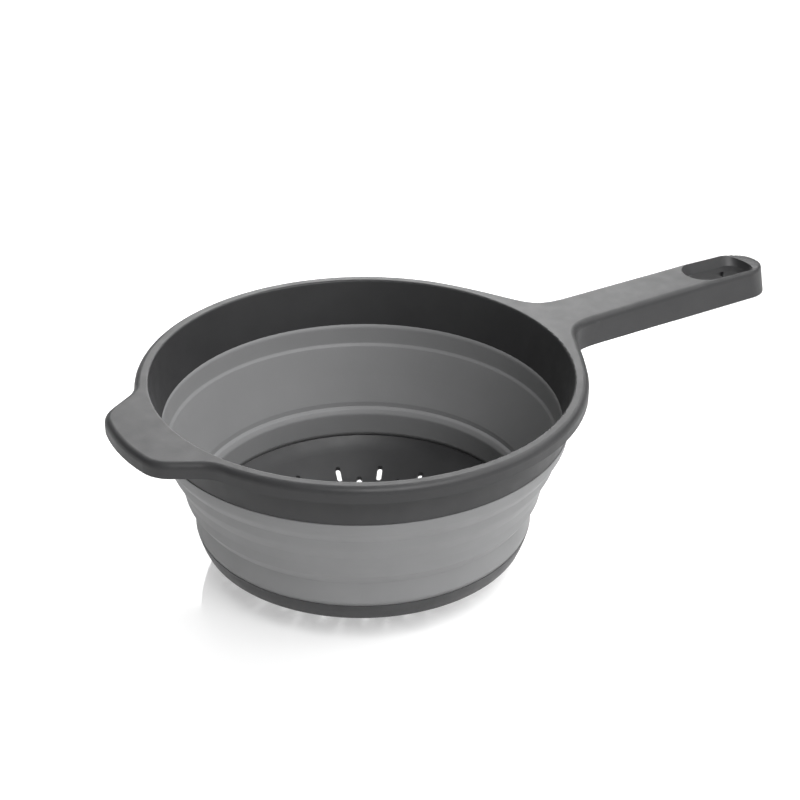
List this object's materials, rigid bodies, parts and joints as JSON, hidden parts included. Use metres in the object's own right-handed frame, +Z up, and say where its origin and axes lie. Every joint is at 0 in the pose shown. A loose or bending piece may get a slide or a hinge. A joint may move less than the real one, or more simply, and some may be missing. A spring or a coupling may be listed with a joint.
{
  "type": "collapsible colander",
  "caption": "Round collapsible colander: stiff rim with a long hollow handle, hang slot and helper tab, soft wall that folds down, dished base with radial drain slots.",
  "frame": {"origin": "centre of the base's flat underside, on the axis of the bowl", "axes": "+X along the handle, away from the bowl; +Z up, out of the bowl's mouth; the helper tab is on -X"},
  "size_m": [0.3943, 0.225, 0.1075],
  "materials": {
    "dark_plastic": "fine satin moulded polypropylene, dark grey",
    "soft_wall": "smooth matt thermoplastic elastomer, mid grey"
  },
  "bodies": {
    "base": {"strainer_base": "dark_plastic", "wall_lower_band": "soft_wall"},
    "fold": {"wall_fold_band": "soft_wall"},
    "rim": {"rim_frame": "dark_plastic", "wall_upper_band": "soft_wall"}
  },
  "joints": [
    {"name": "collapse", "type": "slide", "parent": "base", "child": "rim", "axis": [0, 0, -1], "range_m": [0, 0.064]},
    {"name": "wall_fold", "type": "slide", "parent": "base", "child": "fold", "axis": [0, 0, -1], "range_m": [0, 0.032]}
  ],
  "couplings": [
    {"joint": "wall_fold", "follows": "collapse", "ratio": 0.5}
  ]
}
